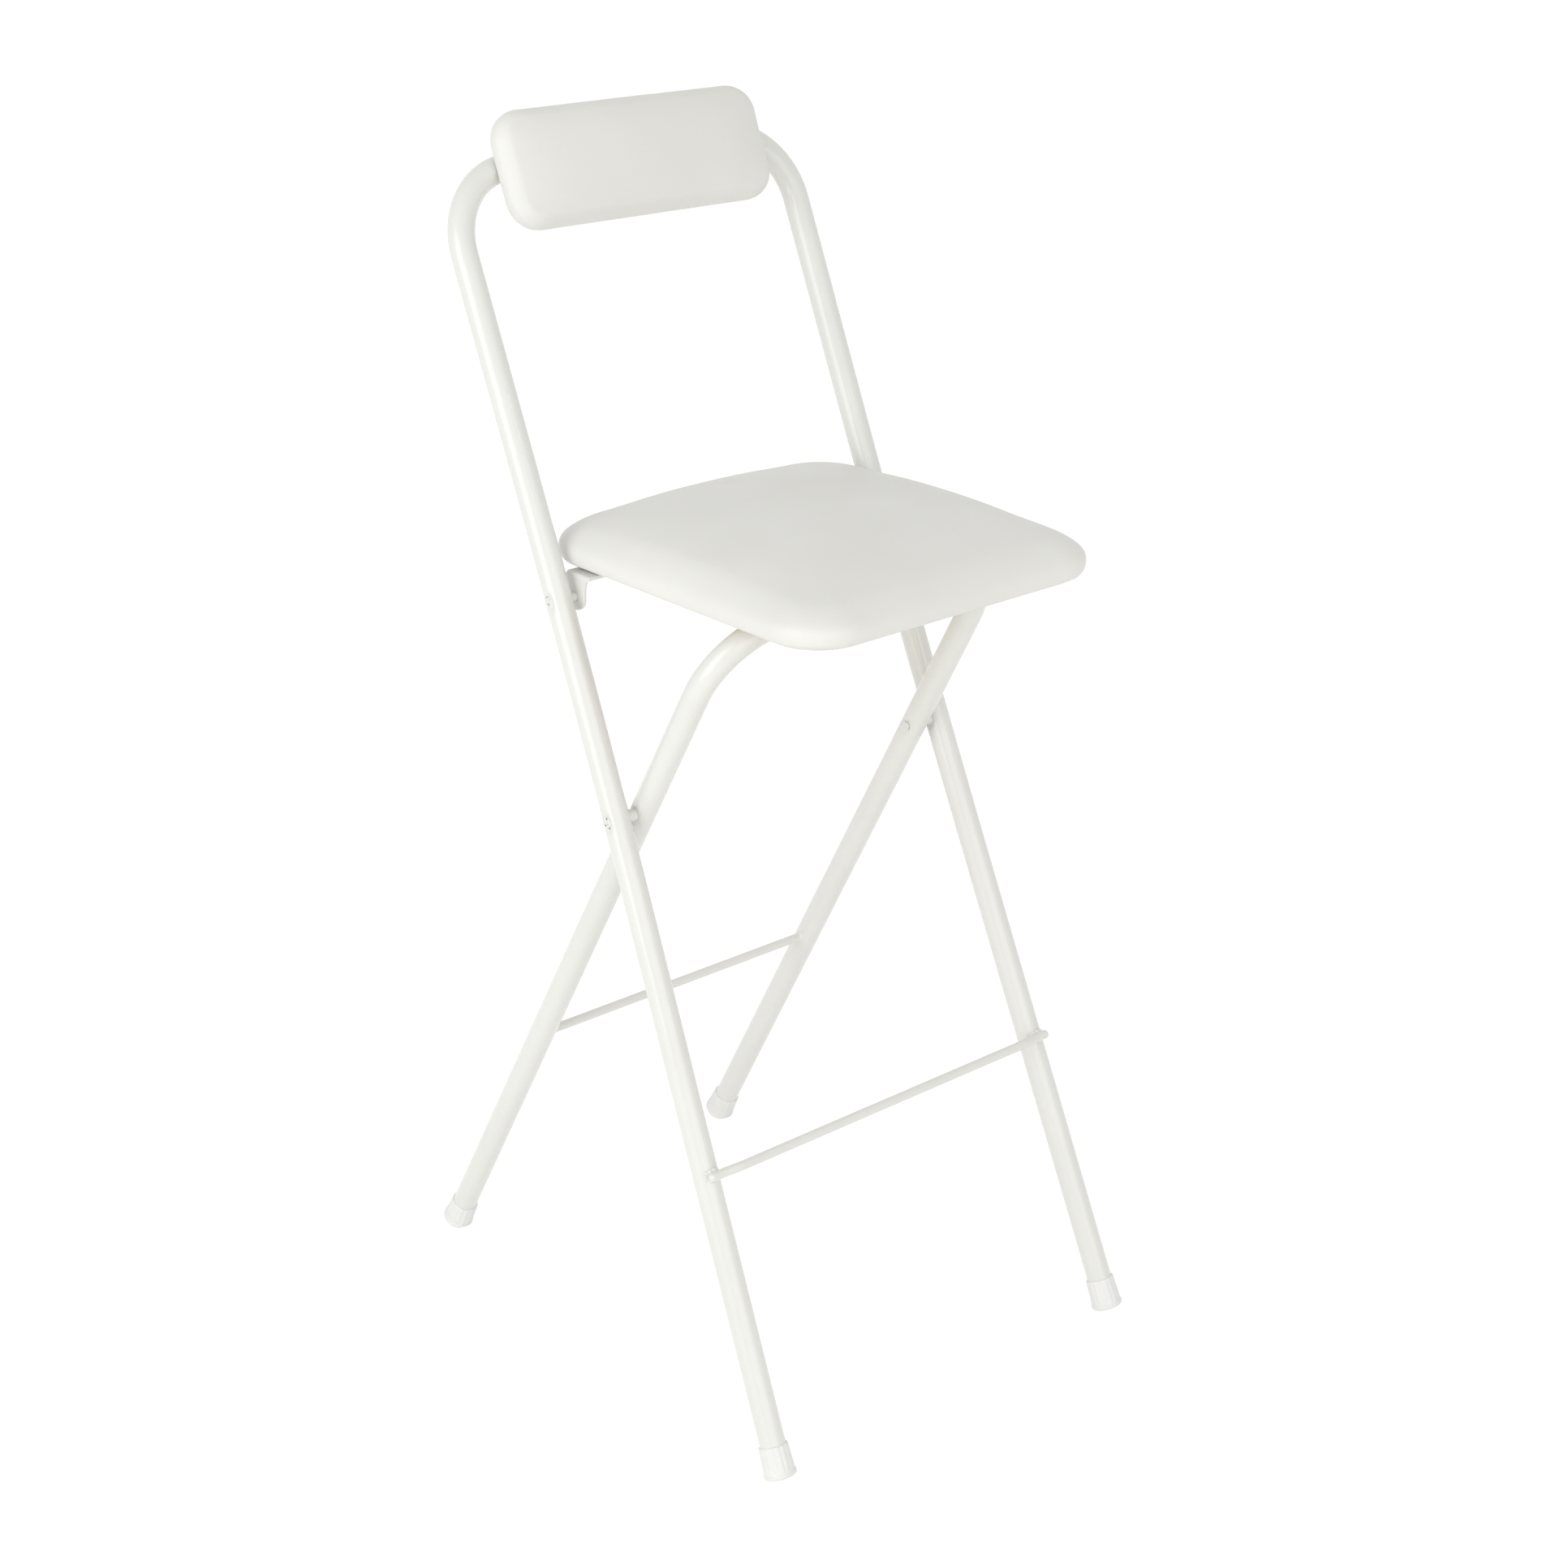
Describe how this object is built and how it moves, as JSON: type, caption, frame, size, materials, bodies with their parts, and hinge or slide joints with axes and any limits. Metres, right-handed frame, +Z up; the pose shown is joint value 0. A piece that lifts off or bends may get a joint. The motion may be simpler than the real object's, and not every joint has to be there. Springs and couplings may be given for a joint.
{
  "type": "folding bar stool",
  "caption": "Folding bar stool with a scissor frame of bent steel tube, a padded square seat hinged at its rear and a padded back rest.",
  "frame": {"origin": "middle of the open stool's footprint, on the floor", "axes": "+Z up, -Y the way the sitter faces, +X to the sitter's left"},
  "size_m": [0.4132, 0.5292, 1.0385],
  "materials": {
    "frame_paint": "gloss white powder coat on steel",
    "rivet_paint": "gloss white paint over a steel rivet",
    "vinyl": "smooth satin white vinyl over foam",
    "board": "raw plywood",
    "steel": "bright zinc plate",
    "cap_plastic": "satin moulded white plastic with fine upright ribs"
  },
  "bodies": {
    "front_frame": {"front_frame_tube": "frame_paint", "front_foot_bar": "frame_paint", "back_pad": "vinyl", "back_board": "board", "back_screw_left": "steel", "back_screw_right": "steel", "front_foot_cap_left": "cap_plastic", "front_foot_cap_right": "cap_plastic", "scissor_rivet_left": "rivet_paint", "scissor_rivet_right": "rivet_paint", "scissor_spacer_left": "frame_paint", "scissor_spacer_right": "frame_paint", "seat_rivet_left": "rivet_paint", "seat_rivet_right": "rivet_paint", "seat_spacer_left": "frame_paint", "seat_spacer_right": "frame_paint"},
    "rear_frame": {"rear_frame_tube": "frame_paint", "rear_stretcher_bar": "frame_paint", "rear_foot_cap_left": "cap_plastic", "rear_foot_cap_right": "cap_plastic"},
    "seat": {"seat_cushion": "vinyl", "seat_board": "board", "seat_hinge_bar": "frame_paint", "hinge_screw_left_front": "steel", "hinge_screw_left_rear": "steel", "hinge_screw_right_front": "steel", "hinge_screw_right_rear": "steel", "catch_hook_left": "steel", "catch_hook_right": "steel", "catch_screw_left_inner": "steel", "catch_screw_left_outer": "steel", "catch_screw_right_inner": "steel", "catch_screw_right_outer": "steel"}
  },
  "joints": [
    {"name": "rear_frame_fold", "type": "hinge", "parent": "front_frame", "child": "rear_frame", "pos_m": [0, -0.03463, 0.51], "axis": [-1, 0, 0], "range_deg": [0, 53]},
    {"name": "seat_fold", "type": "hinge", "parent": "front_frame", "child": "seat", "pos_m": [0, 0.03725, 0.6769], "axis": [-1, 0, 0], "range_deg": [0, 113.3]}
  ],
  "couplings": [
    {"joint": "rear_frame_fold", "follows": "seat_fold", "ratio": 0.46778}
  ]
}
